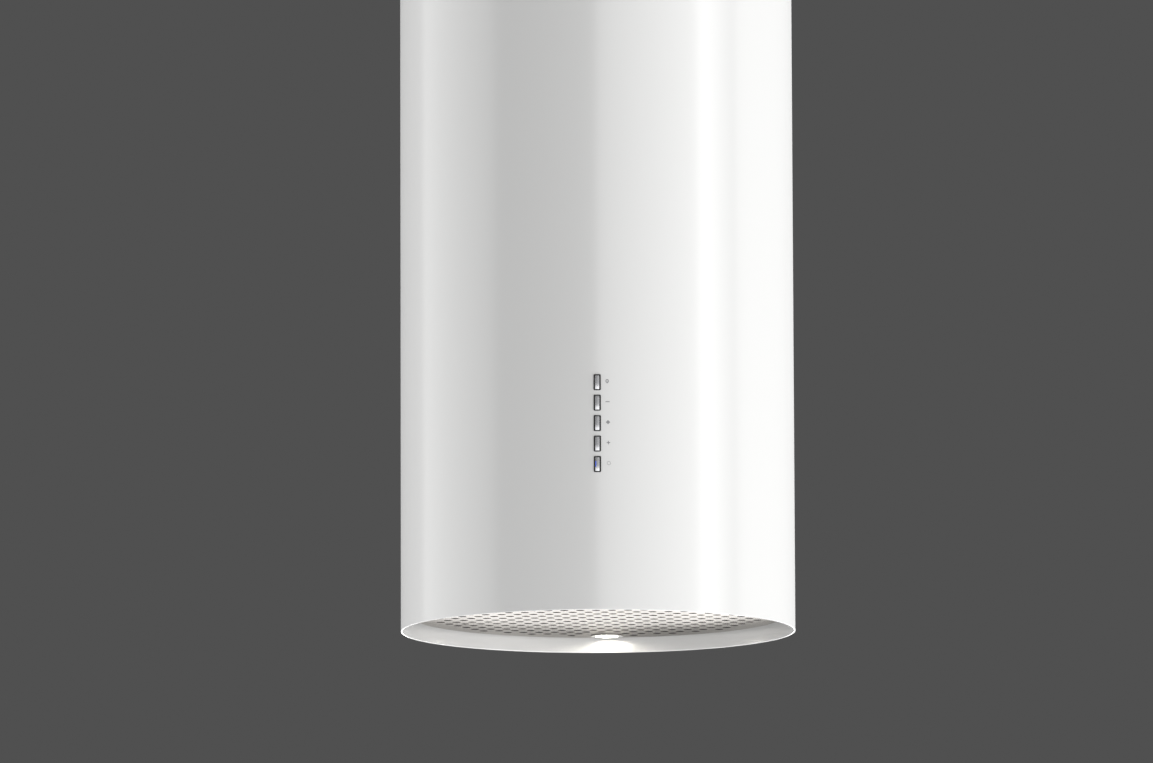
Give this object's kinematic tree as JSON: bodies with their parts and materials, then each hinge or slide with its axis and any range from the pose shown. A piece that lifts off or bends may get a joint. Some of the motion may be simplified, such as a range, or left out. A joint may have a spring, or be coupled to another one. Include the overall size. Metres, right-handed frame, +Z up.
{
  "type": "island range hood",
  "caption": "Round white island range hood on a telescopic ceiling frame, with a hinged perforated panel, lamp, push buttons, blower and duct flaps.",
  "frame": {"origin": "centre of the ceiling plate at its top face", "axes": "+Z up towards the ceiling, along the tube; -Y the front, where the buttons are; +X to the right seen from the front"},
  "size_m": [0.3499, 0.3518, 0.9],
  "materials": {
    "white_enamel": "gloss",
    "stainless_panel": "brushed",
    "galvanised_steel": "satin",
    "zinc_fasteners": "satin",
    "ground_steel": "polished",
    "black_gloss_plastic": "gloss",
    "black_matte_plastic": "matte",
    "satin_chrome": "satin",
    "indicator_blue": "gloss",
    "soft_rubber": "matte",
    "motor_grey": "satin",
    "cast_aluminium": "satin",
    "filter_mesh_layers": "matte",
    "laminations": "satin",
    "circuit_board": "satin",
    "pale_plastic": "satin",
    "lamp_white": "gloss",
    "lamp_diffuser": "gloss",
    "magnet_black": "matte"
  },
  "bodies": {
    "root": {"ceiling_plate": "galvanised_steel", "upper_frame": "galvanised_steel", "frame_screws": "zinc_fasteners", "upper_tube": "white_enamel", "tube_brackets": "galvanised_steel", "bracket_screws": "white_enamel"},
    "hood": {"lower_tube": "white_enamel", "lower_frame": "galvanised_steel", "deck_bolts": "zinc_fasteners", "top_deck": "galvanised_steel", "hanger_ring": "galvanised_steel", "tie_rods": "galvanised_steel", "filter_deck": "white_enamel", "filter_shroud": "galvanised_steel", "scroll_wall": "galvanised_steel", "side_plate_left": "galvanised_steel", "side_plate_right": "galvanised_steel", "inlet_ring_left": "black_matte_plastic", "inlet_ring_right": "black_matte_plastic", "blower_brackets": "galvanised_steel", "rubber_mounts": "soft_rubber", "outlet_duct": "galvanised_steel", "duct_collar": "black_matte_plastic", "chassis_screws": "zinc_fasteners", "flap_rod": "zinc_fasteners", "motor_housing": "motor_grey", "motor_cap": "cast_aluminium", "motor_spider": "galvanised_steel", "stator": "laminations", "bearings": "ground_steel", "electronics_box": "galvanised_steel", "electronics_cover": "galvanised_steel", "power_board": "circuit_board", "terminal_block": "pale_plastic", "capacitor": "pale_plastic", "cable_gland": "black_matte_plastic", "control_box": "black_matte_plastic", "control_board": "circuit_board", "button_bezels": "black_gloss_plastic", "hinge_brackets": "galvanised_steel", "hinge_pins": "zinc_fasteners", "magnet_catches": "magnet_black"},
    "panel": {"perforated_panel": "stainless_panel", "filter_frame": "cast_aluminium", "filter_mesh": "filter_mesh_layers", "lamp_bezel": "lamp_white", "lamp_lens": "lamp_diffuser", "lamp_sink": "cast_aluminium"},
    "impeller": {"impeller": "black_matte_plastic", "impeller_rings": "black_matte_plastic", "shaft": "ground_steel", "rotor": "laminations"},
    "flap_left": {"flap_left": "black_matte_plastic"},
    "flap_right": {"flap_right": "black_matte_plastic"},
    "button_1": {"button_1": "satin_chrome", "indicator_lens": "indicator_blue"},
    "button_2": {"button_2": "satin_chrome"},
    "button_3": {"button_3": "satin_chrome"},
    "button_4": {"button_4": "satin_chrome"},
    "button_5": {"button_5": "satin_chrome"}
  },
  "joints": [
    {"name": "height_adjust", "type": "slide", "parent": "root", "child": "hood", "axis": [0, 0, 1], "range_m": [-0.08, 0.1]},
    {"name": "panel_hinge", "type": "hinge", "parent": "hood", "child": "panel", "pos_m": [0, 0.148, -0.883], "axis": [1, 0, 0], "range_deg": [0, 50]},
    {"name": "impeller_spin", "type": "hinge", "parent": "hood", "child": "impeller", "pos_m": [0, -0.046, -0.63], "axis": [1, 0, 0], "continuous": true},
    {"name": "flap_left_swing", "type": "hinge", "parent": "hood", "child": "flap_left", "pos_m": [0, 0.01, -0.444], "axis": [0, 1, 0], "range_deg": [0, 75]},
    {"name": "flap_right_swing", "type": "hinge", "parent": "hood", "child": "flap_right", "pos_m": [0, 0.01, -0.444], "axis": [0, -1, 0], "range_deg": [0, 75]},
    {"name": "button_1_push", "type": "slide", "parent": "hood", "child": "button_1", "axis": [0, 1, 0], "range_m": [0, 0.001], "stiffness_N_per_m": 1500, "springref_m": -0.0006},
    {"name": "button_2_push", "type": "slide", "parent": "hood", "child": "button_2", "axis": [0, 1, 0], "range_m": [0, 0.001], "stiffness_N_per_m": 1500, "springref_m": -0.0006},
    {"name": "button_3_push", "type": "slide", "parent": "hood", "child": "button_3", "axis": [0, 1, 0], "range_m": [0, 0.001], "stiffness_N_per_m": 1500, "springref_m": -0.0006},
    {"name": "button_4_push", "type": "slide", "parent": "hood", "child": "button_4", "axis": [0, 1, 0], "range_m": [0, 0.001], "stiffness_N_per_m": 1500, "springref_m": -0.0006},
    {"name": "button_5_push", "type": "slide", "parent": "hood", "child": "button_5", "axis": [0, 1, 0], "range_m": [0, 0.001], "stiffness_N_per_m": 1500, "springref_m": -0.0006}
  ]
}
